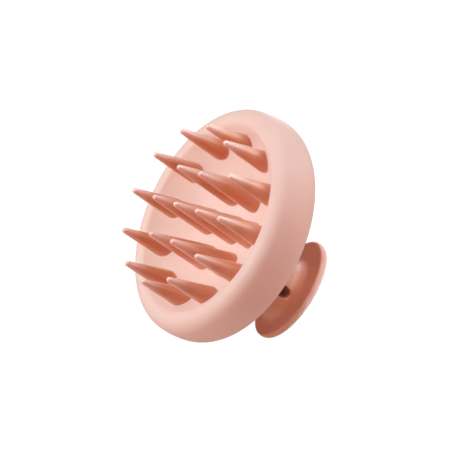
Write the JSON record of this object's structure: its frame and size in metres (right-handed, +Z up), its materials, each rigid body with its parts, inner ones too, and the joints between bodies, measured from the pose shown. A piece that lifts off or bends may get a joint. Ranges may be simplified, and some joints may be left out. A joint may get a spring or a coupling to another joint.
{
  "type": "scalp massager brush",
  "caption": "Round scalp massager brush: dished head with a ring of soft conical bristles, and a round grip on a short raked neck with a hanging hole.",
  "frame": {"origin": "centre of the grip's flat back, where the brush stands", "axes": "+Z up along the neck, square to the grip's flat back; +X to the right and +Y away from the front; the head leans 15.8 degrees from +Z"},
  "size_m": [0.0842, 0.0832, 0.0673],
  "materials": {
    "shell_pink": "soft matte, pale pink",
    "handle_pink": "soft matte, warm pink",
    "silicone_coral": "matte translucent silicone, coral",
    "core_white": "moulded, natural",
    "screw_steel": "plain"
  },
  "bodies": {
    "head": {"face_shell": "shell_pink", "back_cover": "shell_pink", "bristle_mat": "silicone_coral", "clamp_plate": "core_white", "plate_screws": "screw_steel", "handle": "handle_pink", "grip_cap": "handle_pink", "handle_screws": "screw_steel"},
    "bristle_center": {"bristle_center": "silicone_coral"},
    "bristle_inner_1": {"bristle_inner_1": "silicone_coral"},
    "bristle_inner_2": {"bristle_inner_2": "silicone_coral"},
    "bristle_inner_3": {"bristle_inner_3": "silicone_coral"},
    "bristle_inner_4": {"bristle_inner_4": "silicone_coral"},
    "bristle_inner_5": {"bristle_inner_5": "silicone_coral"},
    "bristle_inner_6": {"bristle_inner_6": "silicone_coral"},
    "bristle_outer_1": {"bristle_outer_1": "silicone_coral"},
    "bristle_outer_2": {"bristle_outer_2": "silicone_coral"},
    "bristle_outer_3": {"bristle_outer_3": "silicone_coral"},
    "bristle_outer_4": {"bristle_outer_4": "silicone_coral"},
    "bristle_outer_5": {"bristle_outer_5": "silicone_coral"},
    "bristle_outer_6": {"bristle_outer_6": "silicone_coral"},
    "bristle_outer_7": {"bristle_outer_7": "silicone_coral"},
    "bristle_outer_8": {"bristle_outer_8": "silicone_coral"},
    "bristle_outer_9": {"bristle_outer_9": "silicone_coral"},
    "bristle_outer_10": {"bristle_outer_10": "silicone_coral"},
    "bristle_outer_11": {"bristle_outer_11": "silicone_coral"},
    "bristle_outer_12": {"bristle_outer_12": "silicone_coral"}
  },
  "joints": [
    {"name": "flex_center", "type": "hinge", "parent": "head", "child": "bristle_center", "pos_m": [0.00706, -0.00292, 0.03251], "axis": [-0.1309, 0.9649, 0.2278], "range_deg": [-12, 12], "stiffness_Nm_per_rad": 0.004},
    {"name": "flex_inner_1", "type": "hinge", "parent": "head", "child": "bristle_inner_1", "pos_m": [0.0182, 0.00478, 0.03811], "axis": [-0.6053, 0.7865, 0.1225], "range_deg": [-12, 12], "stiffness_Nm_per_rad": 0.004},
    {"name": "flex_inner_2", "type": "hinge", "parent": "head", "child": "bristle_inner_2", "pos_m": [0.0049, 0.01055, 0.03788], "axis": [-0.9839, -0.0982, -0.1495], "range_deg": [-12, 12], "stiffness_Nm_per_rad": 0.004},
    {"name": "flex_inner_3", "type": "hinge", "parent": "head", "child": "bristle_inner_3", "pos_m": [-0.00651, 0.00232, 0.03435], "axis": [-0.3786, -0.8847, -0.272], "range_deg": [-12, 12], "stiffness_Nm_per_rad": 0.004},
    {"name": "flex_inner_4", "type": "hinge", "parent": "head", "child": "bristle_inner_4", "pos_m": [-0.00461, -0.01167, 0.03105], "axis": [0.6053, -0.7865, -0.1225], "range_deg": [-12, 12], "stiffness_Nm_per_rad": 0.004},
    {"name": "flex_inner_5", "type": "hinge", "parent": "head", "child": "bristle_inner_5", "pos_m": [0.00869, -0.01744, 0.03128], "axis": [0.9839, 0.0982, 0.1495], "range_deg": [-12, 12], "stiffness_Nm_per_rad": 0.004},
    {"name": "flex_inner_6", "type": "hinge", "parent": "head", "child": "bristle_inner_6", "pos_m": [0.0201, -0.00921, 0.03481], "axis": [0.3786, 0.8847, 0.272], "range_deg": [-12, 12], "stiffness_Nm_per_rad": 0.004},
    {"name": "flex_outer_1", "type": "hinge", "parent": "head", "child": "bristle_outer_1", "pos_m": [0.03446, -0.00233, 0.04577], "axis": [-0.1309, 0.9649, 0.2278], "range_deg": [-12, 12], "stiffness_Nm_per_rad": 0.004},
    {"name": "flex_outer_2", "type": "hinge", "parent": "head", "child": "bristle_outer_2", "pos_m": [0.02874, 0.01128, 0.04849], "axis": [-0.6053, 0.7865, 0.1225], "range_deg": [-12, 12], "stiffness_Nm_per_rad": 0.004},
    {"name": "flex_outer_3", "type": "hinge", "parent": "head", "child": "bristle_outer_3", "pos_m": [0.0169, 0.02048, 0.04932], "axis": [-0.9175, 0.3974, -0.0156], "range_deg": [-12, 12], "stiffness_Nm_per_rad": 0.004},
    {"name": "flex_outer_4", "type": "hinge", "parent": "head", "child": "bristle_outer_4", "pos_m": [0.00213, 0.0228, 0.04804], "axis": [-0.9839, -0.0982, -0.1495], "range_deg": [-12, 12], "stiffness_Nm_per_rad": 0.004},
    {"name": "flex_outer_5", "type": "hinge", "parent": "head", "child": "bristle_outer_5", "pos_m": [-0.01163, 0.01763, 0.04498], "axis": [-0.7866, -0.5675, -0.2433], "range_deg": [-12, 12], "stiffness_Nm_per_rad": 0.004},
    {"name": "flex_outer_6", "type": "hinge", "parent": "head", "child": "bristle_outer_6", "pos_m": [-0.02068, 0.00634, 0.04098], "axis": [-0.3786, -0.8847, -0.272], "range_deg": [-12, 12], "stiffness_Nm_per_rad": 0.004},
    {"name": "flex_outer_7", "type": "hinge", "parent": "head", "child": "bristle_outer_7", "pos_m": [-0.02261, -0.00803, 0.0371], "axis": [0.1309, -0.9649, -0.2278], "range_deg": [-12, 12], "stiffness_Nm_per_rad": 0.004},
    {"name": "flex_outer_8", "type": "hinge", "parent": "head", "child": "bristle_outer_8", "pos_m": [-0.01689, -0.02164, 0.03437], "axis": [0.6053, -0.7865, -0.1225], "range_deg": [-12, 12], "stiffness_Nm_per_rad": 0.004},
    {"name": "flex_outer_9", "type": "hinge", "parent": "head", "child": "bristle_outer_9", "pos_m": [-0.00505, -0.03084, 0.03354], "axis": [0.9175, -0.3974, 0.0156], "range_deg": [-12, 12], "stiffness_Nm_per_rad": 0.004},
    {"name": "flex_outer_10", "type": "hinge", "parent": "head", "child": "bristle_outer_10", "pos_m": [0.00972, -0.03316, 0.03483], "axis": [0.9839, 0.0982, 0.1495], "range_deg": [-12, 12], "stiffness_Nm_per_rad": 0.004},
    {"name": "flex_outer_11", "type": "hinge", "parent": "head", "child": "bristle_outer_11", "pos_m": [0.02348, -0.02799, 0.03788], "axis": [0.7866, 0.5675, 0.2433], "range_deg": [-12, 12], "stiffness_Nm_per_rad": 0.004},
    {"name": "flex_outer_12", "type": "hinge", "parent": "head", "child": "bristle_outer_12", "pos_m": [0.03253, -0.01671, 0.04188], "axis": [0.3786, 0.8847, 0.272], "range_deg": [-12, 12], "stiffness_Nm_per_rad": 0.004}
  ]
}
